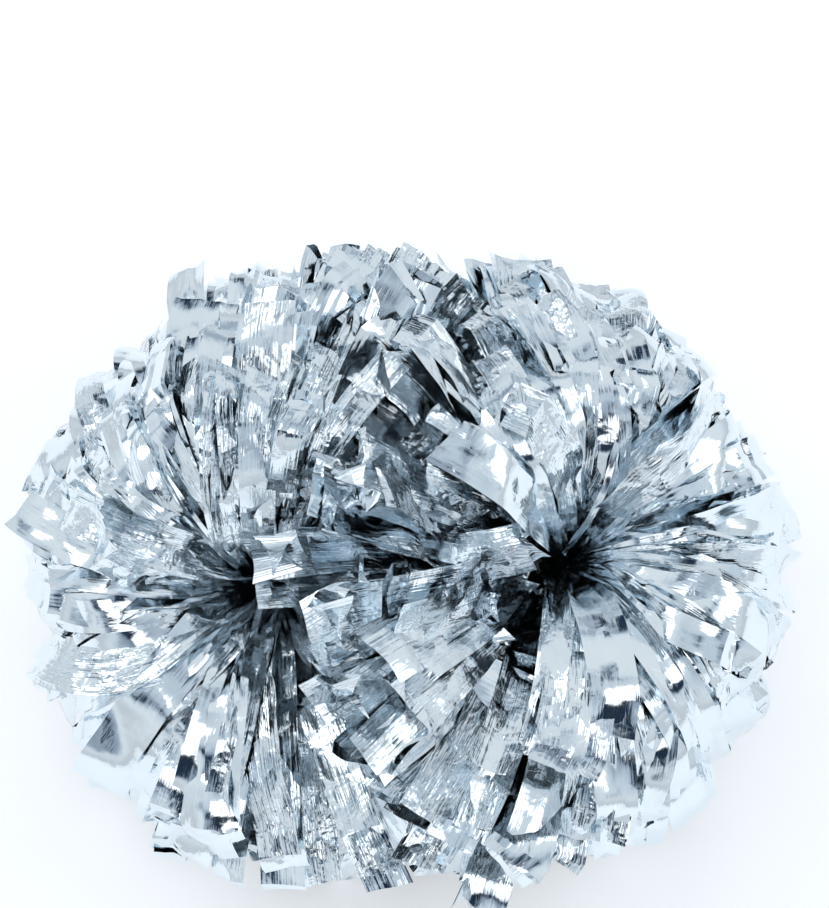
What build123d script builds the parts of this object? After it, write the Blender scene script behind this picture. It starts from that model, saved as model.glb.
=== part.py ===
from build123d import *
import os
from math import cos, radians, sin, sqrt, tan

os.makedirs("parts", exist_ok=True)

# A cheer pom pom: two bundles of slit metallised film, one at each end of a
# short hollow baton handle.  It lies on a flat surface at z = 0, with the
# handle along X, and the origin is on that surface under the handle's middle.
# All sizes are in millimetres and all angles in degrees.

# The rounded outline that the loose strands fill, cut flat by the surface
POM_LENGTH = 300.0
POM_DEPTH = 276.0
POM_TOP = 200.0
AXIS_HEIGHT = 84.0

# Baton handle: a plain plastic tube
TUBE_LENGTH = 92.0
TUBE_DIAMETER = 25.0
TUBE_WALL = 2.0
TUBE_EDGE_RADIUS = 0.8

# Core cord through the handle, knotted outside each bundle
CORD_DIAMETER = 4.0
CORD_CLEARANCE = 0.1
KNOT_RADIUS = 5.0

# Header roll: the uncut bands of all the layers, rolled round the cord
ROLL_LENGTH = 14.0
ROLL_GAP = 1.0
ROLL_WAIST_RADIUS = 10.0
ROLL_FLARE_RADIUS = 12.0
ROLL_WAIST_WIDTH = 9.0
KNOT_GAP = 0.3

# Paper tape round the waist, with a loose tail under the handle
TAPE_THICKNESS = 0.6
TAPE_WIDTH = 8.0
TAIL_GAP = 0.5
TAIL_ANGLE = 44.0
TAIL_STRIP_END = 17.0
TAB_WIDTH = 10.0
TAB_DROP = 11.0

# Cable tie over the tape
TIE_THICKNESS = 1.3
TIE_WIDTH = 4.6
TIE_HEAD_WIDTH = 7.0
TIE_HEAD_HEIGHT = 4.4
TIE_HEAD_LENGTH = 6.0
TIE_SLOT_WIDTH = 1.4

# Fringe layers: each one fans out in a plane that holds a line through the
# waist, parallel to Y.  Its lean is measured from straight outwards, along
# the handle's axis, up and over towards the handle.
UPPER_LEANS = [5.0, 25.0, 45.0, 65.0, 85.0, 105.0, 125.0]
LOWER_LEANS = [-20.0, -65.0, -112.0]
LOCKS_PER_LAYER = 7
LOCK_PITCH = 22.0
LOCK_HALF_ANGLE = 9.5
LOCK_THICKNESS_PER_REACH = 0.11
LOCK_START = 20.0
STRAND_LENGTH = 138.0
MIDDLE_GAP = 1.5

TUBE_RADIUS = TUBE_DIAMETER / 2
NECK_X = TUBE_LENGTH / 2 + ROLL_GAP + ROLL_LENGTH / 2
SIDES = {"left": -1, "right": 1}


def along_x(radius, start, end):
    """A solid rod on the handle's axis from x = start to x = end."""
    base = Plane(origin=(start, 0, AXIS_HEIGHT), z_dir=(1, 0, 0))
    return extrude(base * Circle(radius), end - start)


def ring(outer, inner, start, end):
    """A sleeve on the handle's axis from x = start to x = end."""
    return along_x(outer, start, end) - along_x(inner, start, end)


def mirrored(part, side):
    """The part as drawn at the +X end, or its mirror image at the -X end."""
    return part if side > 0 else mirror(part, about=Plane.YZ)


def handle_tube():
    half = TUBE_LENGTH / 2
    tube = ring(TUBE_RADIUS, TUBE_RADIUS - TUBE_WALL, -half, half)
    rims = tube.edges().filter_by(GeomType.CIRCLE)
    return fillet(rims, TUBE_EDGE_RADIUS)


def core_cord():
    half = NECK_X + ROLL_LENGTH / 2 + KNOT_GAP
    return along_x(CORD_DIAMETER / 2, -half, half)


def cord_knot(side):
    """A ball knot, flat where it bears on the cord's end."""
    face_x = NECK_X + ROLL_LENGTH / 2 + KNOT_GAP
    ball = Pos(face_x + 0.8 * KNOT_RADIUS, 0, AXIS_HEIGHT) * Sphere(KNOT_RADIUS)
    cutter = along_x(2 * KNOT_RADIUS, face_x - 2 * KNOT_RADIUS, face_x)
    return mirrored(ball - cutter, side)


def header_roll(side):
    """A spool that flares either side of the cinched waist."""
    half = ROLL_LENGTH / 2
    waist = ROLL_WAIST_WIDTH / 2
    bore = CORD_DIAMETER / 2 + CORD_CLEARANCE
    outline = Polyline(
        (-half, bore),
        (half, bore),
        (half, ROLL_FLARE_RADIUS),
        (waist, ROLL_WAIST_RADIUS),
        (-waist, ROLL_WAIST_RADIUS),
        (-half, ROLL_FLARE_RADIUS),
        close=True,
    )
    upright = Plane(origin=(NECK_X, 0, AXIS_HEIGHT), x_dir=(1, 0, 0), z_dir=(0, -1, 0))
    section = upright * make_face(outline)
    axis = Axis((NECK_X, 0, AXIS_HEIGHT), (1, 0, 0))
    return mirrored(revolve(section, axis, 360), side)


def waist_tape(side):
    """A turn of tape with a tail along the handle's underside and a loose tab."""
    inner = ROLL_WAIST_RADIUS
    band = ring(inner + TAPE_THICKNESS, inner, NECK_X - TAPE_WIDTH / 2, NECK_X + TAPE_WIDTH / 2)
    strip_inner = TUBE_RADIUS + TAIL_GAP
    strip_outer = strip_inner + TAPE_THICKNESS
    strip_start = NECK_X - TAPE_WIDTH / 2
    strip = ring(strip_outer, strip_inner, TAIL_STRIP_END, strip_start)
    step = ring(strip_outer, inner, strip_start, strip_start + TAPE_THICKNESS)
    half_width = strip_outer * sin(radians(TAIL_ANGLE / 2))
    keep = Pos((TAIL_STRIP_END + NECK_X) / 2, 0, AXIS_HEIGHT - TUBE_DIAMETER) * Box(
        NECK_X, 2 * half_width, 2 * TUBE_DIAMETER
    )
    tail = (strip + step) & keep
    tab = Pos(
        TAIL_STRIP_END + TAB_WIDTH / 2, 0, AXIS_HEIGHT - strip_inner - TAB_DROP / 2
    ) * Box(TAB_WIDTH, TAPE_THICKNESS, TAB_DROP)
    return mirrored(band + tail + tab, side)


def cable_tie(side):
    """A cinched band with its square head behind the waist."""
    inner = ROLL_WAIST_RADIUS + TAPE_THICKNESS
    start = NECK_X - TIE_WIDTH / 2
    band = ring(inner + TIE_THICKNESS, inner, start, start + TIE_WIDTH)
    head_y = inner + TIE_HEAD_HEIGHT / 2
    head = Pos(NECK_X, head_y, AXIS_HEIGHT) * Box(TIE_HEAD_WIDTH, TIE_HEAD_HEIGHT, TIE_HEAD_LENGTH)
    head -= along_x(inner, start - TIE_HEAD_WIDTH, start + 2 * TIE_HEAD_WIDTH)
    slot = Pos(NECK_X, inner + TIE_THICKNESS + TIE_SLOT_WIDTH, AXIS_HEIGHT) * Box(
        TIE_WIDTH, TIE_SLOT_WIDTH, 2 * TIE_HEAD_LENGTH
    )
    return mirrored(band + head - slot, side)


def reach_to_outline(direction):
    """Distance from the right-hand waist to the rounded outline, along a unit direction."""
    centre = (0.0, 0.0, AXIS_HEIGHT)
    waist = (NECK_X, 0.0, AXIS_HEIGHT)
    half_sizes = (POM_LENGTH / 2, POM_DEPTH / 2, POM_TOP - AXIS_HEIGHT)
    offset = [(w - c) / h for w, c, h in zip(waist, centre, half_sizes)]
    slope = [d / h for d, h in zip(direction, half_sizes)]
    a = sum(s * s for s in slope)
    b = sum(o * s for o, s in zip(offset, slope))
    c = sum(o * o for o in offset) - 1
    return (-b + sqrt(b * b - a * c)) / a


def lock(lean, spread):
    """One lock of strands: a tapered, four-sided spoke from the waist to the outline."""
    lean, spread, half_angle = radians(lean), radians(spread), radians(LOCK_HALF_ANGLE)
    direction = (cos(lean) * cos(spread), sin(spread), sin(lean) * cos(spread))
    across = (-cos(lean) * sin(spread), cos(spread), -sin(lean) * sin(spread))
    end = min(reach_to_outline(direction), STRAND_LENGTH)
    width_rate = 2 * tan(half_angle)
    thickness_rate = LOCK_THICKNESS_PER_REACH * cos(abs(spread) + half_angle)
    sections = []
    for distance in (LOCK_START, end):
        x, y, z = (n + distance * d for n, d in zip((NECK_X, 0, AXIS_HEIGHT), direction))
        plane = Plane(origin=(x, y, z), x_dir=across, z_dir=direction)
        sections.append(plane * Rectangle(width_rate * distance, thickness_rate * distance))
    return loft(sections, ruled=True)


def fringe_layer(lean, side):
    """The locks of one slit layer, kept above the surface and on their own side."""
    room = Pos(MIDDLE_GAP + POM_LENGTH / 2, 0, POM_TOP / 2) * Box(POM_LENGTH, POM_LENGTH, POM_TOP)
    middle = (LOCKS_PER_LAYER - 1) / 2
    locks = []
    for i in range(LOCKS_PER_LAYER):
        piece = lock(lean, (i - middle) * LOCK_PITCH) & room
        locks.extend(mirrored(piece, side).solids())
    return Compound(locks)


export_step(handle_tube(), "parts/handle_tube.step")
export_step(core_cord(), "parts/core_cord.step")
for name, side in SIDES.items():
    export_step(cord_knot(side), f"parts/{name}_cord_knot.step")
    export_step(header_roll(side), f"parts/{name}_header_roll.step")
    export_step(waist_tape(side), f"parts/{name}_waist_tape.step")
    export_step(cable_tie(side), f"parts/{name}_cable_tie.step")
    for number, lean in enumerate(UPPER_LEANS, 1):
        export_step(fringe_layer(lean, side), f"parts/{name}_upper_fringe_{number}.step")
    for number, lean in enumerate(LOWER_LEANS, 1):
        export_step(fringe_layer(lean, side), f"parts/{name}_lower_fringe_{number}.step")
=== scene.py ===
from math import cos, radians, sin

import bpy
import numpy as np
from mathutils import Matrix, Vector


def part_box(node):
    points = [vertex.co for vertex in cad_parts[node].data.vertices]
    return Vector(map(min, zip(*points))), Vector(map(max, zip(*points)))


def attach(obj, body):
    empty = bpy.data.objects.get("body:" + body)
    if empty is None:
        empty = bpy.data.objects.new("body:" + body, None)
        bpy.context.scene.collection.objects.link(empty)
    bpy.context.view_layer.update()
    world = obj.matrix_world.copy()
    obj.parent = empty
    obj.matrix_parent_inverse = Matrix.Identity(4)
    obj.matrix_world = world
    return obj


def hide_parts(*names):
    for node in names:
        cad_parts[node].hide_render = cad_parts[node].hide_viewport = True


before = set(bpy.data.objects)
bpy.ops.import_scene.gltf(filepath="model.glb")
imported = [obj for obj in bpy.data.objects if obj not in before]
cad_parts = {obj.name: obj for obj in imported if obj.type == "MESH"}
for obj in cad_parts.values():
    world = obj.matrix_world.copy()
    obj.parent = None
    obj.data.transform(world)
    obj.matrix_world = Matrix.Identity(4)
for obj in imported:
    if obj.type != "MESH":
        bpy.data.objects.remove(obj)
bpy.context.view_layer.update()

# A cheer pom pom of slit foil on a white baton handle, lying on a pale floor.
# Sizes are in metres, in the frame's own axes: X along the handle, Z up.

SIDES = {"left": -1.0, "right": 1.0}

# The fringe layers of each bundle: the node's name, its lean in degrees from
# straight outwards up and over towards the handle, and the body it rides
LAYERS = [
    ("upper_fringe_1", 5.0, "bundle"),
    ("upper_fringe_2", 25.0, "bundle"),
    ("upper_fringe_3", 45.0, "bundle"),
    ("upper_fringe_4", 65.0, "bundle"),
    ("upper_fringe_5", 85.0, "outer_fan"),
    ("upper_fringe_6", 105.0, "middle_fan"),
    ("upper_fringe_7", 125.0, "inner_fan"),
    ("lower_fringe_1", -20.0, "bundle"),
    ("lower_fringe_2", -65.0, "bundle"),
    ("lower_fringe_3", -112.0, "bundle"),
]

# The starts of the random draws
FRINGE_SEED = 7
SECOND_SIDE_SEED = 1000
ROLL_SEED = 50

# The cut of one layer: some strands are narrower or wider than the rest
STRANDS = 52
STRAND_WIDTH = 0.0185
WIDTH_FACTORS = (0.7, 0.85, 0.95, 1.0, 1.0, 1.0, 1.0, 1.0, 1.1, 1.4)
STRAND_LENGTH = 0.138

# The grid of one strand, and the greatest angle in degrees that is still shaded smooth
ROWS = 49
COLUMNS = 11
CREASE_ANGLE = 24.0

# Where the handle's axis and the waists are, and the room that the strands
# leave round the handle and over the floor
AXIS_HEIGHT = sum(corner.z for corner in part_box("handle_tube")) / 2
NECK_X = sum(corner.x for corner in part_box("right_header_roll")) / 2
GRIP_RADIUS = 0.0155
GRIP_END_GAP = 0.012
FLOOR_GAP = 0.0008

# The rounded outline that the strands fill, and how much of the way to it and
# of their own length they reach
HALF_LENGTH = 0.153
HALF_DEPTH = 0.137
TOP_HEIGHT = 0.200
LOWER_SWELL = 0.140
OUTLINE_SLACK = 1.02
REACH_SHARES = (0.94, 1.02)
REACH_LIMIT = 0.985

# Where the strands point: neighbours lie in clumps, and all lean away from a
# hollow, the pit, that opens over each waist, in tiers round it.  The angles,
# the clear way round the pit, the step of the tiers and the jitters are in
# degrees, and a jitter is a standard deviation.  The crossing is the least and
# the greatest distance past the middle that a strand may reach.
STRAND_PLACES = (0.1, 0.9)
CLUMP = 4
CLUMP_PULL = 0.30
SPREAD_LIMIT = 0.985
SPREAD_JITTER = 1.5
CLUMP_LEAN_JITTER = 5
LEAN_JITTER = 2.0
PIT_TILTS = {-1.0: (-0.15, -0.84, 1.0), 1.0: (0.28, -0.42, 1.0)}
PIT_ANGLES = {-1.0: 51.0, 1.0: 45.0}
PIT_CLEAR = 14.0
PIT_CROWDING = 1.35
TIER_STEP = 19.0
TIER_PULL = 0.7
SWIRL = 0.6
CROSSING = (0.015, 0.060)
CLEARING_PASSES = 3

# How strands splay out over the floor: the least and greatest height of their
# tips, the share of their span that they can drop, the standard deviation of
# the sideways turn, and the steepest way down
TIP_HEIGHTS = (0.001, 0.012)
DROP_SHARE = 0.95
SPLAY = 0.05
STEEPEST = -0.98

# How one strand runs from the roll to its tip.  Rolls, drifts and kinks are in
# radians.  Waves are the standard deviation of their size in radians, and the
# least and greatest number of them along the strand.
TIGHTEST_HALF_TURN = 2.2
ARC_SAMPLES = 400
SPAN_MEAN = 0.125
SPAN_SPREAD = 0.05
ROOT_RADIUS = 0.011
ROOT_SHARE = 0.7
STRAIGHT_SHARE = 0.15
TURN_POWER = 1.4
TURN_FACTORS = (0.92, 1.1)
RISE_JITTER = 0.15
PITCH_WAVES = (0.04, 0.6, 1.6)
YAW_WAVES = (0.025, 0.4, 1.2)
ROLL_WAVES = (0.06, 0.4, 1.2)
YAW_DRIFT = 0.04
TIP_ROLL = 0.15
CLUMP_ROLL_JITTER = 0.28
TIP_ROLL_JITTER = 0.15
ROOT_ROLL_JITTER = 0.5
ROOT_ROLL_POWER = 1.5
BENT_CHANCE = 0.12
KINKS = 2
KINK_TURN = 0.30
KINK_PLACES = (0.25, 0.97)
KINK_SHARPNESS = 140

# The pleats that gather a strand at its root and open towards its tip.  Widths
# are shares of the strand's own, and strands that run to the back open later.
FOLD_CHANCE = 0.35
FOLD_SIZES = (0.5, 1.15)
ROOT_WIDTHS = (0.22, 0.40)
OPENING_SHARES = (0.3, 0.6)
BACK_OPENING = 0.3
TIP_CURL = 0.02
BACK_CURL = 0.15
CUPPING = 0.22

# Crumples, soft buckles and slanting folds in the film.  From the first lean, in
# degrees, to the second, the share of crumpled strands grows from the first
# share to the second.  Fewer are crumpled among those that run to the back.
CRUMPLE_LEANS = (40.0, 100.0)
CRUMPLE_SHARES = (0.25, 0.85)
BACK_CALM = 0.4
CRUMPLED_AMOUNTS = (0.4, 1.0)
SMOOTH_AMOUNTS = (0.10, 0.26)
CREASE_GRID = (13, 4)
CREASE_DEPTH = 0.00095
GRAIN_DEPTH = 0.00005
RIPPLES = 3
RIPPLE_LENGTHS = (0.014, 0.045)
RIPPLE_SLANT = 0.9
RIPPLE_SLOPES = (0.004, 0.018)
FOLDED_CHANCE = 0.25
FOLD_TURN = 0.35
FOLD_TURN_LIMIT = 0.6
FOLD_SLANT = 0.9
FOLD_STARTS = (0.72, 0.95)
FOLD_SOFTNESS = 0.0012
CUT_SKEW = 0.16
CUT_SKEW_POWER = 6
LINING_SHARE = 0.6
FILM_OFFSET = 9

# The header roll: its points along the skin, across an end and round the axis,
# and the pleats round it
ROLL_LENGTH = 0.0138
ROLL_WAIST_RADIUS = 0.0099
ROLL_WAIST_SHARE = 0.65
ROLL_FLARE_RADIUS = 0.0120
ROLL_BORE = 0.0021
ROLL_LAYER = 0.0011
SKIN_POINTS = 29
END_POINTS = 34
ROUND_POINTS = 240
PLEAT_COUNTS = (29, 43, 59)
PLEAT_TWIST = 0.8
PLEAT_DEPTH = 0.0011
PLEAT_START = 0.6
PLEAT_RISE = 0.25
ROLL_LAYER_RELIEF = 0.3
ROLL_WRINKLE = 0.3
ROLL_LINING = 0.5

# The knot at each end of the cord: its points along and round the cord, its
# stretch along the handle, and how far it is settled onto the cord's end
KNOT_POINTS = 200
KNOT_ROUND_POINTS = 16
KNOT_STRETCH = 1.7
KNOT_SCALE = 0.00105
KNOT_CORD_RADIUS = 0.0016
KNOT_SETTLE = 0.0014
KNOT_X = sum(corner.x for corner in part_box("right_cord_knot")) / 2 - KNOT_SETTLE

# Each finish's darker and lighter colour
COLOURS = {
    "foil_film": [(0.70, 0.78, 0.84, 1), (0.84, 0.895, 0.925, 1)],
    "foil_roll": [(0.60, 0.68, 0.75, 1), (0.80, 0.87, 0.91, 1)],
    "handle_plastic": [(0.80, 0.82, 0.83, 1), (0.90, 0.91, 0.92, 1)],
    "braided_cord": [(0.55, 0.50, 0.38, 1), (0.75, 0.70, 0.58, 1)],
    "paper_tape": [(0.66, 0.58, 0.42, 1), (0.80, 0.73, 0.57, 1)],
    "tie_nylon": [(0.70, 0.70, 0.66, 1), (0.82, 0.82, 0.78, 1)],
    "floor": [(0.88, 0.89, 0.90, 1), (0.92, 0.93, 0.94, 1)],
}
WHITE = (1.0, 1.0, 1.0)
FOIL_ROUGHNESS = 0.11

# The studio.  Ramps are lists of (position, colour): the walls' from the horizon
# to straight up, the front's from well away from the direction FRONT to straight
# along it, and the gaps' from dark openings to plain wall.  The last ramp lets
# the gaps show only overhead.
FLOOR_SIZE = 6.0
FLOOR_GLOW = 0.38
WORLD_STRENGTH = 1.15
WALL_STOPS = [(0.0, (0.54, 0.58, 0.62)), (0.40, (0.73, 0.77, 0.80)), (0.95, (0.71, 0.75, 0.78))]
FRONT = (0.0, -0.58, 0.81)
FRONT_STOPS = [(0.70, WHITE), (0.93, (0.85, 0.87, 0.90)), (0.98, (0.40, 0.44, 0.50))]
GAP_STOPS = [
    (0.345, (0.015, 0.035, 0.065)),
    (0.385, (0.45, 0.50, 0.57)),
    (0.47, (0.82, 0.86, 0.90)),
    (0.60, WHITE),
]
GAP_NOISE = {"W": 6.8, "Scale": 1.8, "Detail": 0.0}
OVERHEAD_STOPS = [(0.22, (0.0, 0.0, 0.0)), (0.42, WHITE)]

# Soft lights: name, place, width and height, power in watts and colour
LIGHT_TARGET = (0, 0, 0.09)
LIGHTS = [
    ("key", (-0.9, 0.5, 1.3), (0.5, 0.5), 1.9, WHITE),
    ("front", (0.0, -0.75, 1.25), (0.7, 0.7), 2.2, WHITE),
    ("fill", (1.2, -0.2, 0.8), (0.4, 0.6), 1.0, (0.92, 0.97, 1.0)),
]

# The camera: its angle above the floor in degrees, its distance, the width that
# it sees there, and the point that it looks at, moved up and right in the picture
CAMERA_ANGLE = 58
CAMERA_DISTANCE = 1.05
VIEW_WIDTH = 0.3395
AIM = (0, 0, 0.085)
AIM_UP = 0.0455
AIM_RIGHT = (0.0033, 0, 0)


def unit(v):
    return v / np.maximum(np.linalg.norm(v, axis=-1, keepdims=True), 1e-12)


def dot(a, b):
    return (a * b).sum(-1, keepdims=True)


def arc_half_turn(ratio):
    """Half the turn, in radians, of an arc whose chord is that share of its length."""
    half = np.linspace(0.0, TIGHTEST_HALF_TURN, ARC_SAMPLES)
    share = np.sinc(half / np.pi)
    return np.interp(-ratio, -share, half)


def reach_to_outline(start, direction):
    """Distance along each direction from the start to the rounded outline of the pom."""
    below = direction[:, 2] < 0
    half_height = np.where(below, LOWER_SWELL, TOP_HEIGHT - AXIS_HEIGHT)
    half = np.stack(
        [np.full_like(half_height, HALF_LENGTH), np.full_like(half_height, HALF_DEPTH), half_height], 1
    )
    offset = (start - np.array([0, 0, AXIS_HEIGHT])) / half
    slope = direction / half
    a = (slope * slope).sum(1)
    b = (offset * slope).sum(1)
    c = (offset * offset).sum(1) - 1
    return (-b + np.sqrt(b * b - a * c)) / a


def clump_means(values):
    """Each value replaced by its clump's mean."""
    return np.repeat(np.mean(values.reshape(-1, CLUMP), axis=1), CLUMP)


def per_clump(count, rng, spread):
    """A random value that the strands of a clump share."""
    return np.repeat(rng.normal(0, spread, count // CLUMP), CLUMP)


def chord_directions(side, lean, count, rng):
    """Where the strands of one layer point, from waist to tip, opened round the pit over the waist."""
    share = (np.arange(count) + rng.uniform(*STRAND_PLACES, count)) / count * 2 - 1
    share += CLUMP_PULL * (clump_means(share) - share)
    jitter = rng.normal(0, SPREAD_JITTER, count)
    spread = np.arcsin(np.clip(SPREAD_LIMIT * share, -1, 1)) + np.radians(jitter)
    lean = np.radians(lean + per_clump(count, rng, CLUMP_LEAN_JITTER) + rng.normal(0, LEAN_JITTER, count))
    chord = np.stack(
        [side * np.cos(lean) * np.cos(spread), np.sin(spread), np.sin(lean) * np.cos(spread)], 1
    )
    pit = unit(np.array(PIT_TILTS[side]))
    away = unit(chord - dot(chord, pit) * pit)
    angle = np.arccos(np.clip(dot(chord, pit), -1, 1))
    least = np.radians(PIT_ANGLES[side])
    angle = least + (np.pi - least) * (angle / np.pi) ** PIT_CROWDING
    step = np.radians(TIER_STEP)
    angle += TIER_PULL * (least + step * np.round((angle - least) / step) - angle)
    chord = np.cos(angle) * pit + np.sin(angle) * away
    inward = np.clip(-side * chord[:, 0], 0, 1)
    chord[:, 1] += -side * SWIRL * inward
    return unit(chord), pit, angle


def lift_off_floor(chord, span, rng):
    """Strands that would pass through the floor splay out along it instead."""
    tip_height = rng.uniform(*TIP_HEIGHTS, len(chord))
    lowest = -(AXIS_HEIGHT - tip_height) / (DROP_SHARE * span)
    splay = [rng.normal(0, SPLAY, len(chord)), rng.normal(0, SPLAY, len(chord)), np.zeros(len(chord))]
    level = unit(chord * np.array([1, 1, 0]) + np.stack(splay, 1))
    z = np.maximum(chord[:, 2], np.maximum(lowest, STEEPEST))
    flat = np.sqrt(np.maximum(1 - z * z, 0))[:, None] * level
    flat[:, 2] = z
    return np.where((chord[:, 2] < z)[:, None], flat, chord)


def keep_clear(points, side, crossing):
    """Moves points inside the outline, near their own side, up off the floor and out of the handle."""
    centre = np.array([0, 0, AXIS_HEIGHT])
    outline = np.array([HALF_LENGTH, HALF_DEPTH, TOP_HEIGHT - AXIS_HEIGHT])
    outside = np.linalg.norm((points - centre) / outline, axis=-1, keepdims=True) / OUTLINE_SLACK
    points[:] = centre + (points - centre) / np.maximum(outside, 1.0)
    points[..., 0] = side * np.maximum(side * points[..., 0], -crossing)
    points[..., 2] = np.maximum(points[..., 2], FLOOR_GAP)
    offset = points - centre
    radius = np.hypot(offset[..., 1], offset[..., 2])
    inside = (np.abs(offset[..., 0]) < NECK_X - GRIP_END_GAP) & (radius < GRIP_RADIUS)
    push = np.where(inside, GRIP_RADIUS / np.maximum(radius, 1e-6), 1.0)
    points[..., 1] = offset[..., 1] * push
    points[..., 2] = offset[..., 2] * push + AXIS_HEIGHT
    return points


def even_steps(points, step):
    """Pulls each point back to one step from the last, so that a strand keeps its length."""
    for i in range(1, points.shape[1]):
        points[:, i] = points[:, i - 1] + step * unit(points[:, i] - points[:, i - 1])
    return points


def waves(s, count, rng, amplitude, low, high):
    """A smooth random wobble along each strand."""
    phase = rng.uniform(0, 2 * np.pi, (count, 1))
    rate = rng.uniform(low, high, (count, 1))
    size = rng.normal(0, amplitude, (count, 1))
    return size * np.sin(2 * np.pi * rate * s + phase)


def kinks(s, count, rng):
    """Sharp folds: the strand turns by a random angle past each of a few places."""
    turn = np.zeros((count, len(s[0])))
    for _ in range(KINKS):
        place = rng.uniform(*KINK_PLACES, (count, 1))
        angle = rng.normal(0, KINK_TURN, (count, 1))
        turn += angle / (1 + np.exp(-(s - place) * KINK_SHARPNESS))
    return turn


def strand_lines(side, lean, count, rng):
    """Centre points, width directions and face directions of a layer's strands."""
    s = np.linspace(0, 1, ROWS)[None, :]
    chord, pit, pit_angle = chord_directions(side, lean, count, rng)
    span = SPAN_MEAN * (1 + rng.uniform(-SPAN_SPREAD, SPAN_SPREAD, count))
    chord = lift_off_floor(chord, span, rng)
    neck = np.array([side * NECK_X, 0, AXIS_HEIGHT])
    reach = reach_to_outline(neck, chord) * rng.uniform(*REACH_SHARES, count) - ROOT_SHARE * ROOT_RADIUS
    reach = np.minimum(reach, REACH_LIMIT * span)
    half = arc_half_turn(reach / span)[:, None]
    half *= rng.uniform(*TURN_FACTORS, half.shape)
    turned = np.clip((s - STRAIGHT_SHARE) / (1 - STRAIGHT_SHARE), 0, 1) ** TURN_POWER
    start = np.minimum(2 * half * turned.mean(), pit_angle - radians(PIT_CLEAR))
    rise = unit(pit - dot(chord, pit) * chord)
    rise = unit(rise + RISE_JITTER * rng.normal(0, 1, rise.shape))
    rise = unit(rise - dot(chord, rise) * chord)
    across = np.cross(chord, rise)
    bent = rng.uniform(0, 1, (count, 1)) < BENT_CHANCE
    pitch = start - 2 * half * turned + waves(s, count, rng, *PITCH_WAVES) + bent * kinks(s, count, rng)
    yaw = waves(s, count, rng, *YAW_WAVES) + rng.normal(0, YAW_DRIFT, (count, 1)) * s
    tip_roll = TIP_ROLL + per_clump(count, rng, CLUMP_ROLL_JITTER) + rng.normal(0, TIP_ROLL_JITTER, count)
    roll = rng.normal(0, ROOT_ROLL_JITTER, (count, 1)) * (1 - s) ** ROOT_ROLL_POWER + tip_roll[:, None] * s
    roll += waves(s, count, rng, *ROLL_WAVES)

    c, r, w = chord[:, None], rise[:, None], across[:, None]
    pitch, yaw = pitch[..., None], yaw[..., None]
    heading = np.cos(yaw) * (np.cos(pitch) * c + np.sin(pitch) * r) + np.sin(yaw) * w
    step = (span / (ROWS - 1))[:, None]
    root = neck + ROOT_RADIUS * unit(heading[:, 0])
    points = root[:, None] + np.cumsum(heading, 1) * step[..., None]
    crossing = rng.uniform(*CROSSING, (count, 1))
    for _ in range(CLEARING_PASSES):
        points = even_steps(keep_clear(points, side, crossing), step)
    tangent = unit(np.gradient(points, axis=1))
    face = unit(np.cross(tangent, np.broadcast_to(w, tangent.shape)))
    wide = np.cross(face, tangent)
    roll = roll[..., None]
    return points, np.cos(roll) * wide + np.sin(roll) * face, np.cos(roll) * face - np.sin(roll) * wide


def pleats(strand_widths, back, rng):
    """Places of each strand's columns across and off its face: gathered at the root, flat at the tip."""
    count = len(strand_widths)
    s = np.linspace(0, 1, ROWS)[None, :, None]
    back = back[:, None, None]
    folds = rng.uniform(*FOLD_SIZES, (count, 1, COLUMNS - 1))
    turns = np.cumsum(rng.uniform(0, 1, folds.shape) < FOLD_CHANCE, 2)
    folds *= np.where(turns % 2 == 0, 1, -1)
    root_width = rng.uniform(*ROOT_WIDTHS, (count, 1, 1))
    open_at = rng.uniform(*OPENING_SHARES, (count, 1, 1)) + BACK_OPENING * back
    tip_width = 1 - (TIP_CURL + BACK_CURL * back) * rng.uniform(0, 1, (count, 1, 1)) ** 2
    width = root_width + (tip_width - root_width) * np.minimum(s / open_at, 1)
    angle = folds * np.arccos(width)
    angle = angle + rng.normal(0, CUPPING, (count, 1, 1)) * s * np.linspace(-1, 1, COLUMNS - 1)
    cell = (strand_widths / (COLUMNS - 1))[:, None, None]
    first = np.zeros((count, ROWS, 1))
    x = np.concatenate([first, np.cumsum(np.cos(angle) * cell, 2)], 2)
    h = np.concatenate([first, np.cumsum(np.sin(angle) * cell, 2)], 2)
    return x - x.mean(2, keepdims=True), h - h.mean(2, keepdims=True), 1 - width


def stretch_grid(coarse):
    """A coarse grid of random values, stretched in straight lines to the strand's own grid."""
    rows = np.linspace(0, coarse.shape[1] - 1, ROWS)
    columns = np.linspace(0, coarse.shape[2] - 1, COLUMNS)
    r0 = np.minimum(rows.astype(int), coarse.shape[1] - 2)
    c0 = np.minimum(columns.astype(int), coarse.shape[2] - 2)
    fr = (rows - r0)[None, :, None]
    fc = (columns - c0)[None, None, :]
    top = coarse[:, r0][:, :, c0] * (1 - fc) + coarse[:, r0][:, :, c0 + 1] * fc
    low = coarse[:, r0 + 1][:, :, c0] * (1 - fc) + coarse[:, r0 + 1][:, :, c0 + 1] * fc
    return top * (1 - fr) + low * fr


def crumples(count, rng, amount):
    """Height of the sharp creases off each strand's face."""
    creases = stretch_grid(rng.normal(0, 1, (count, *CREASE_GRID)))
    grain = rng.normal(0, 1, (count, ROWS, COLUMNS))
    return amount[:, None, None] * (CREASE_DEPTH * creases + GRAIN_DEPTH * grain)


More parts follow.
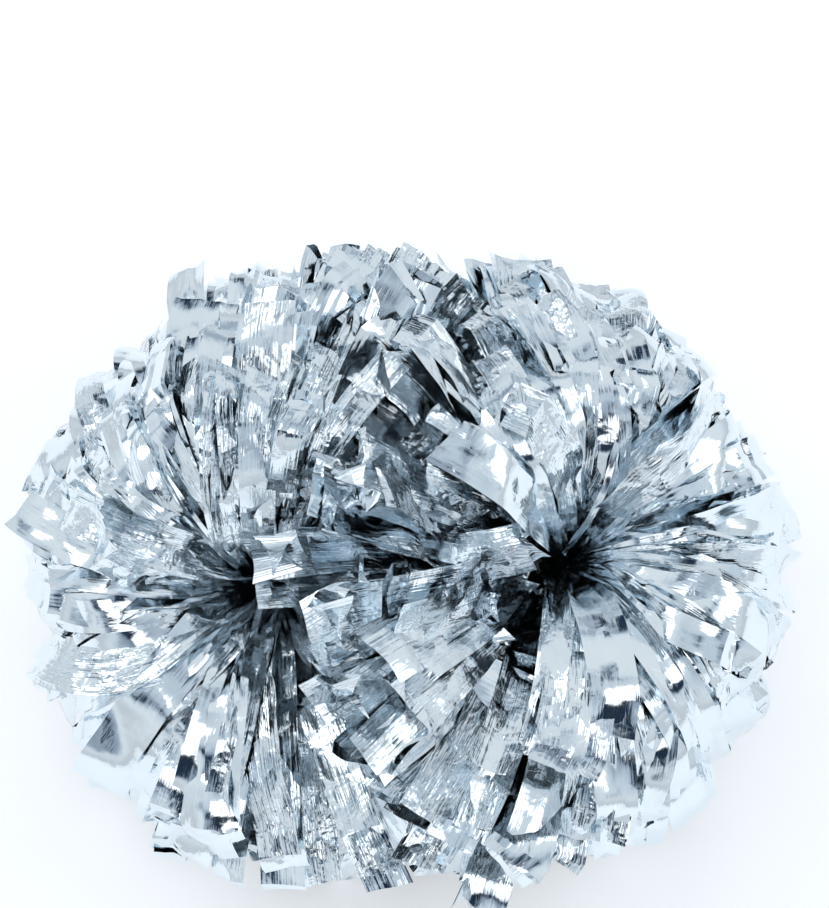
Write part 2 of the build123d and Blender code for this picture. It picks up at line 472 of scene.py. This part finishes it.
def ripples(count, rng):
    """Height of the soft buckles, as a few crossing waves on each strand."""
    across = np.linspace(-0.5, 0.5, COLUMNS)[None, None, :] * STRAND_WIDTH
    along = np.linspace(0, 1, ROWS)[None, :, None] * STRAND_LENGTH
    height = np.zeros((count, ROWS, COLUMNS))
    for _ in range(RIPPLES):
        length = rng.uniform(*RIPPLE_LENGTHS, (count, 1, 1))
        turn = rng.normal(0, RIPPLE_SLANT, (count, 1, 1))
        phase = rng.uniform(0, 2 * np.pi, (count, 1, 1))
        wave = np.sin(2 * np.pi * (along * np.cos(turn) + across * np.sin(turn)) / length + phase)
        height += rng.uniform(*RIPPLE_SLOPES, (count, 1, 1)) * length * wave
    return height


def slanting_folds(x, along, rng):
    """How far a crease across some strands moves their ends: across, along and off the face."""
    count = len(x)
    folded = rng.uniform(0, 1, (count, 1, 1)) < FOLDED_CHANCE
    turn = rng.normal(0, FOLD_TURN, (count, 1, 1))
    turn = folded * np.clip(turn, -FOLD_TURN_LIMIT, FOLD_TURN_LIMIT)
    slant = rng.uniform(-FOLD_SLANT, FOLD_SLANT, (count, 1, 1))
    start = rng.uniform(*FOLD_STARTS, (count, 1, 1)) * STRAND_LENGTH
    distance = (along - start) * np.cos(slant) + x * np.sin(slant)
    past = FOLD_SOFTNESS * np.logaddexp(0, distance / FOLD_SOFTNESS)
    shift = -past * (1 - np.cos(turn))
    return shift * np.sin(slant), shift * np.cos(slant), past * np.sin(turn)


def closed_grid(shape):
    """The point numbers of a grid that joins up both ways, like a ring."""
    return np.pad(np.arange(shape[0] * shape[1]).reshape(shape[:2]), ((0, 1), (0, 1)), mode="wrap")


def grid_mesh(name, co, grid, **attributes):
    """A mesh with a face between each four neighbours in a grid of point numbers."""
    quads = np.stack([grid[..., :-1, :-1], grid[..., :-1, 1:], grid[..., 1:, 1:], grid[..., 1:, :-1]], -1)
    quads = quads.reshape(-1, 4)
    mesh = bpy.data.meshes.new(name)
    mesh.vertices.add(co.size // 3)
    mesh.vertices.foreach_set("co", co.astype(np.float32).ravel())
    mesh.loops.add(quads.size)
    mesh.loops.foreach_set("vertex_index", quads.astype(np.int32).ravel())
    mesh.polygons.add(len(quads))
    mesh.polygons.foreach_set("loop_start", np.arange(0, quads.size, 4, dtype=np.int32))
    mesh.polygons.foreach_set("use_smooth", np.ones(len(quads), bool))
    for key, value in attributes.items():
        vector = value.shape == co.shape
        attribute = mesh.attributes.new(key, "FLOAT_VECTOR" if vector else "FLOAT", "POINT")
        attribute.data.foreach_set("vector" if vector else "value", value.astype(np.float32).ravel())
    mesh.update()
    mesh.validate()
    mesh.set_sharp_from_angle(angle=radians(CREASE_ANGLE))
    return mesh


def layer_mesh(name, side, lean, rng):
    """One fringe layer: all its strands, with the film's own coordinates and how crumpled each is."""
    points, wide, face = strand_lines(side, lean, STRANDS, rng)
    widths = STRAND_WIDTH * rng.permutation(np.resize(WIDTH_FACTORS, STRANDS))
    back = np.clip((points[:, -1, 1] - points[:, 0, 1]) / SPAN_MEAN, 0, 1)
    x, h, gather = pleats(widths, back, rng)
    share = np.interp(lean, CRUMPLE_LEANS, CRUMPLE_SHARES) * (1 - BACK_CALM * back)
    crumpled = rng.uniform(0, 1, STRANDS) < share
    amount = np.where(
        crumpled, rng.uniform(*CRUMPLED_AMOUNTS, STRANDS), rng.uniform(*SMOOTH_AMOUNTS, STRANDS)
    )
    h = h + crumples(STRANDS, rng, amount) + ripples(STRANDS, rng)
    s = np.linspace(0, 1, ROWS)[None, :, None]
    across, shear, lift = slanting_folds(x, s * STRAND_LENGTH, rng)
    shear = shear + rng.normal(0, CUT_SKEW, (STRANDS, 1, 1)) * x * s**CUT_SKEW_POWER
    x = x + across
    h = h + lift
    tangent = np.cross(wide, face)
    co = points[:, :, None] + wide[:, :, None] * x[..., None] + face[:, :, None] * h[..., None]
    co = co + tangent[:, :, None] * shear[..., None]
    co[..., 2] = np.maximum(co[..., 2], FLOOR_GAP / 2)

    film = np.zeros((STRANDS, ROWS, COLUMNS, 3))
    film[..., 0] = np.linspace(0, 1, COLUMNS) * widths[:, None, None]
    film[..., 1] = np.linspace(0, STRAND_LENGTH, ROWS)[None, :, None]
    film[..., 2] = rng.uniform(0, FILM_OFFSET, (STRANDS, 1, 1))
    wrinkle = np.broadcast_to(amount[:, None, None], gather.shape[:2] + (COLUMNS,))
    lining = LINING_SHARE * wrinkle + LINING_SHARE * gather
    grid = np.arange(STRANDS * ROWS * COLUMNS).reshape(STRANDS, ROWS, COLUMNS)
    return grid_mesh(name, co, grid, film=film, wrinkle=wrinkle, lining=lining)


def header_roll_mesh(name, side, rng):
    """The uncut bands of all the layers, rolled up tight and pleated, and cinched at the waist."""
    skin = np.linspace(-1, 1, SKIN_POINTS)
    waist_radii = (ROLL_WAIST_RADIUS, ROLL_WAIST_RADIUS, ROLL_FLARE_RADIUS)
    skin_radius = np.interp(abs(skin), (0, ROLL_WAIST_SHARE, 1), waist_radii)
    end_radius = np.linspace(ROLL_FLARE_RADIUS, ROLL_BORE, END_POINTS + 2)[1:-1]
    x = np.concatenate([skin, np.ones(END_POINTS), [1, -1], -np.ones(END_POINTS)])[:, None]
    radius = np.concatenate([skin_radius, end_radius, [ROLL_BORE, ROLL_BORE], end_radius[::-1]])[:, None]
    turn = np.linspace(0, 2 * np.pi, ROUND_POINTS, endpoint=False)[None, :]
    folds = sum(
        np.sin(count * turn + rng.uniform(0, 6) + rng.normal(0, PLEAT_TWIST) * x) for count in PLEAT_COUNTS
    )
    folds = folds / (2 * len(PLEAT_COUNTS)) + 0.5
    opened = np.clip((radius - ROLL_BORE) / ROLL_FLARE_RADIUS - PLEAT_START, 0, 1)
    depth = PLEAT_DEPTH * opened / PLEAT_RISE
    layers = 0.5 + 0.5 * np.sin(2 * np.pi * radius / ROLL_LAYER + turn)
    on_end = (np.abs(x) == 1) & (radius < ROLL_FLARE_RADIUS) & (radius > ROLL_BORE)
    along = x * (ROLL_LENGTH / 2 - np.where(on_end, ROLL_LAYER_RELIEF * ROLL_LAYER * layers, 0))
    radius = radius - depth * folds
    place = [side * (NECK_X + along), -side * radius * np.sin(turn), AXIS_HEIGHT + radius * np.cos(turn)]
    co = np.stack(place, -1)
    film = np.stack([radius * turn, along + 0 * turn, 0 * along + 0 * turn], -1)
    wrinkle = np.full(radius.shape, ROLL_WRINKLE)
    lining = np.full(radius.shape, ROLL_LINING)
    return grid_mesh(name, co, closed_grid(co.shape), film=film, wrinkle=wrinkle, lining=lining)


def knot_mesh(name, side):
    """A trefoil knot in the end of the cord, pulled tight."""
    t = np.linspace(0, 2 * np.pi, KNOT_POINTS, endpoint=False)
    along = KNOT_STRETCH * np.sin(3 * t)
    path = np.stack([along, np.sin(t) + 2 * np.sin(2 * t), np.cos(t) - 2 * np.cos(2 * t)], -1)
    path *= KNOT_SCALE
    tangent = unit(np.roll(path, -1, 0) - np.roll(path, 1, 0))
    out = unit(path - dot(path, tangent) * tangent)
    side_way = np.cross(tangent, out)
    turn = np.linspace(0, 2 * np.pi, KNOT_ROUND_POINTS, endpoint=False)[None, :, None]
    co = path[:, None] + KNOT_CORD_RADIUS * (np.cos(turn) * out[:, None] + np.sin(turn) * side_way[:, None])
    co = co * np.array([side, side, 1.0]) + np.array([side * KNOT_X, 0, AXIS_HEIGHT])
    return grid_mesh(name, co, closed_grid(co.shape))


def add_object(name, mesh, material):
    obj = bpy.data.objects.new(name, mesh)
    bpy.context.scene.collection.objects.link(obj)
    obj.data.materials.append(material)
    return obj


class Nodes:
    """A short way to add and link shader nodes."""

    def __init__(self, tree):
        self.tree = tree

    def add(self, kind, inputs=None, **settings):
        node = self.tree.nodes.new(kind)
        for key, value in settings.items():
            setattr(node, key, value)
        for key, value in (inputs or {}).items():
            if isinstance(value, bpy.types.NodeSocket):
                self.tree.links.new(value, node.inputs[key])
            else:
                node.inputs[key].default_value = value
        return node

    def coordinates(self, kind):
        return self.add("ShaderNodeTexCoord").outputs[kind]

    def attribute(self, name, output):
        return self.add("ShaderNodeAttribute", attribute_name=name).outputs[output]

    def noise(self, place, scale, detail):
        return self.add("ShaderNodeTexNoise", {"Vector": place, "Scale": scale, "Detail": detail})

    def cells(self, place, scale):
        return self.add("ShaderNodeTexVoronoi", {"Vector": place, "Scale": scale}).outputs

    def vector(self, operation, first, second):
        """An operation on two vectors: a number for a dot product, or else a vector."""
        node = self.add("ShaderNodeVectorMath", {0: first, 1: second}, operation=operation)
        return node.outputs["Value" if operation == "DOT_PRODUCT" else "Vector"]

    def ramp(self, factor, stops):
        """A smooth colour ramp through (position, colour) stops."""
        node = self.add("ShaderNodeValToRGB", {"Fac": factor})
        node.color_ramp.interpolation = "EASE"
        while len(node.color_ramp.elements) < len(stops):
            node.color_ramp.elements.new(1.0)
        for element, (position, colour) in zip(node.color_ramp.elements, stops):
            element.position = position
            element.color = (*colour, 1.0)
        return node.outputs["Color"]

    def mix(self, factor, first, second, blend="MIX"):
        """Two colours blended."""
        node = self.add(
            "ShaderNodeMix", {"Factor": factor, "A": first, "B": second}, data_type="RGBA", blend_type=blend
        )
        return node.outputs[2]

    def bump(self, height, strength, distance, normal=None):
        """A height laid over the surface, or over the normal of an earlier bump."""
        node = self.add("ShaderNodeBump", {"Height": height, "Strength": strength, "Distance": distance})
        if normal is not None:
            self.tree.links.new(normal, node.inputs["Normal"])
        return node.outputs["Normal"]


def new_material(name, roughness):
    """A new material, a way to add nodes to it, and its shader."""
    material = bpy.data.materials.new(name)
    material.use_nodes = True
    tree = material.node_tree
    shader = tree.nodes["Principled BSDF"]
    shader.inputs["Roughness"].default_value = roughness
    return material, Nodes(tree), shader


def link_surface(nodes, shader, tint, normal):
    nodes.tree.links.new(tint, shader.inputs["Base Color"])
    nodes.tree.links.new(normal, shader.inputs["Normal"])


def foil_material(name):
    """Metallised film, lined where it is gathered or crumpled, and faceted where it is crumpled.

    Scales are in cells to the metre and bump distances in metres.  The facets' height is in
    metres already, so their distance is only a factor.
    """
    material, nodes, shader = new_material(name, FOIL_ROUGHNESS)
    shader.inputs["Metallic"].default_value = 1.0
    film = nodes.attribute("film", "Vector")
    wrinkle = nodes.attribute("wrinkle", "Fac")
    lining = nodes.attribute("lining", "Fac")
    tint = nodes.mix(nodes.noise(film, 60.0, 2.0).outputs["Fac"], *COLOURS[name])

    buckles = nodes.noise(film, 110.0, 0.0).outputs["Fac"]
    drawn_out = nodes.vector("MULTIPLY", film, (1.0, 0.05, 1.0))
    streaks = nodes.noise(drawn_out, 600.0, 3.0).outputs["Fac"]
    bent = nodes.noise(film, 120.0, 1.0).outputs["Color"]
    place = nodes.vector("ADD", film, nodes.vector("MULTIPLY", bent, (0.006, 0.006, 0.0)))
    long_place = nodes.vector("MULTIPLY", place, (1.0, 0.5, 1.0))
    cells = nodes.cells(long_place, 130.0)
    offset = nodes.vector("SUBTRACT", long_place, cells["Position"])
    tilt = nodes.vector("SUBTRACT", cells["Color"], (0.5, 0.5, 0.5))
    facets = nodes.vector("DOT_PRODUCT", offset, tilt)
    dimples = nodes.cells(place, 450.0)["Distance"]

    normal = nodes.bump(buckles, 0.5, 0.0015)
    normal = nodes.bump(streaks, lining, 0.0012, normal)
    normal = nodes.bump(facets, wrinkle, 0.5, normal)
    normal = nodes.bump(dimples, wrinkle, 0.00015, normal)
    link_surface(nodes, shader, tint, normal)
    return material


def plastic_material():
    """White plastic with faint streaks along the tube."""
    name = "handle_plastic"
    material, nodes, shader = new_material(name, 0.36)
    shader.inputs["Subsurface Weight"].default_value = 0.15
    place = nodes.coordinates("Object")
    streaks = nodes.add("ShaderNodeMapping", {"Vector": place, "Scale": (12.0, 260.0, 260.0)})
    noise = nodes.noise(streaks.outputs[0], 1.0, 3.0).outputs["Fac"]
    link_surface(nodes, shader, nodes.mix(noise, *COLOURS[name]), nodes.bump(noise, 0.25, 0.0003))
    return material


def noisy_material(name, scale, roughness, depth):
    """A matt surface with fine grain."""
    material, nodes, shader = new_material(name, roughness)
    noise = nodes.noise(nodes.coordinates("Object"), scale, 5.0).outputs["Fac"]
    link_surface(nodes, shader, nodes.mix(noise, *COLOURS[name]), nodes.bump(noise, 0.5, depth))
    return material


def tape_material():
    """Beige paper tape with fine crepe lines across it."""
    name = "paper_tape"
    material, nodes, shader = new_material(name, 0.7)
    place = nodes.coordinates("Object")
    grain = nodes.noise(place, 500.0, 4.0).outputs["Fac"]
    lines = {"Vector": place, "Scale": 400.0, "Distortion": 6.0, "Detail": 3.0}
    crepe = nodes.add("ShaderNodeTexWave", lines)
    bump = nodes.bump(crepe.outputs["Fac"], 0.4, 0.0002)
    link_surface(nodes, shader, nodes.mix(grain, *COLOURS[name]), bump)
    return material


def floor_material():
    """White paper, lit from below like a light table, so that it stays even and near white."""
    material = noisy_material("floor", 40.0, 0.8, 0.0001)
    shader = material.node_tree.nodes["Principled BSDF"]
    shader.inputs["Emission Color"].default_value = (1.0, 1.0, 1.0, 1.0)
    shader.inputs["Emission Strength"].default_value = FLOOR_GLOW
    return material


def dress_cad_nodes(cotton):
    """Gives the CAD solids that stay in the scene their materials."""
    finishes = {
        "handle_tube": plastic_material(),
        "core_cord": cotton,
        "waist_tape": tape_material(),
        "cable_tie": noisy_material("tie_nylon", 200.0, 0.45, 0.0001),
    }
    for node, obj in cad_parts.items():
        for ending, material in finishes.items():
            if node.endswith(ending):
                obj.data.materials.clear()
                obj.data.materials.append(material)


def add_fringes():
    """The strands of every layer, in place of the CAD spokes."""
    foil = foil_material("foil_film")
    for side_number, (side_name, side) in enumerate(SIDES.items()):
        for number, (layer, lean, body) in enumerate(LAYERS):
            rng = np.random.default_rng(SECOND_SIDE_SEED * side_number + number + FRINGE_SEED)
            node = f"{side_name}_{layer}"
            name = f"{node}_film"
            piece = add_object(name, layer_mesh(name, side, lean, rng), foil)
            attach(piece, f"{side_name}_{body}")
            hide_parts(node)


def add_waists(cotton):
    """The header rolls and the cord's knots, in place of the CAD spools and balls."""
    foil = foil_material("foil_roll")
    for side_number, (side_name, side) in enumerate(SIDES.items()):
        rng = np.random.default_rng(side_number + ROLL_SEED)
        name = f"{side_name}_header_roll"
        roll = add_object(f"{name}_film", header_roll_mesh(name, side, rng), foil)
        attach(roll, f"{side_name}_bundle")
        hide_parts(name)
        name = f"{side_name}_cord_knot"
        knot = add_object(f"{name}_cord", knot_mesh(name, side), cotton)
        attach(knot, "core")
        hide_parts(name)


def add_floor():
    mesh = bpy.data.meshes.new("floor")
    signs = [(-1, -1), (1, -1), (1, 1), (-1, 1)]
    mesh.from_pydata([(x * FLOOR_SIZE, y * FLOOR_SIZE, 0) for x, y in signs], [], [(0, 1, 2, 3)])
    floor = add_object("floor", mesh, floor_material())


def add_world():
    """A pale light tent with dark gaps overhead and a dimmer patch on the camera's side."""
    world = bpy.data.worlds.new("studio")
    bpy.context.scene.world = world
    world.use_nodes = True
    nodes = Nodes(world.node_tree)
    direction = nodes.coordinates("Generated")
    height = nodes.add("ShaderNodeSeparateXYZ", {0: direction}).outputs["Z"]
    walls = nodes.ramp(height, WALL_STOPS)
    front = nodes.ramp(nodes.vector("DOT_PRODUCT", direction, FRONT), FRONT_STOPS)
    clouds = nodes.add("ShaderNodeTexNoise", {"Vector": direction, **GAP_NOISE}, noise_dimensions="4D")
    cloudy = nodes.ramp(clouds.outputs["Fac"], GAP_STOPS)
    gaps = nodes.mix(nodes.ramp(height, OVERHEAD_STOPS), (*WHITE, 1.0), cloudy)
    light = nodes.mix(1.0, nodes.mix(1.0, walls, front, "MULTIPLY"), gaps, "MULTIPLY")
    background = world.node_tree.nodes["Background"]
    world.node_tree.links.new(light, background.inputs["Color"])
    background.inputs["Strength"].default_value = WORLD_STRENGTH


def add_lights():
    for name, place, size, energy, colour in LIGHTS:
        light = bpy.data.lights.new(name, "AREA")
        light.shape = "RECTANGLE"
        light.size, light.size_y = size
        light.energy = energy
        light.color = colour
        obj = bpy.data.objects.new(name, light)
        bpy.context.scene.collection.objects.link(obj)
        obj.location = place
        obj.rotation_euler = (Vector(LIGHT_TARGET) - Vector(place)).to_track_quat("-Z", "Y").to_euler()


def add_camera():
    elevation = radians(CAMERA_ANGLE)
    view = Vector((0, -cos(elevation), sin(elevation)))
    up = Vector((0, sin(elevation), cos(elevation)))
    centre = Vector(AIM) + up * AIM_UP + Vector(AIM_RIGHT)
    camera = bpy.data.objects.new("camera", bpy.data.cameras.new("camera"))
    bpy.context.scene.collection.objects.link(camera)
    camera.location = centre + view * CAMERA_DISTANCE
    camera.rotation_euler = view.to_track_quat("Z", "Y").to_euler()
    camera.data.sensor_fit = "HORIZONTAL"
    camera.data.lens = camera.data.sensor_width * CAMERA_DISTANCE / VIEW_WIDTH
    bpy.context.scene.camera = camera


bpy.context.scene.view_settings.view_transform = "Standard"
cotton = noisy_material("braided_cord", 900.0, 0.9, 0.0004)
dress_cad_nodes(cotton)
add_waists(cotton)
add_fringes()
add_floor()
add_world()
add_lights()
add_camera()
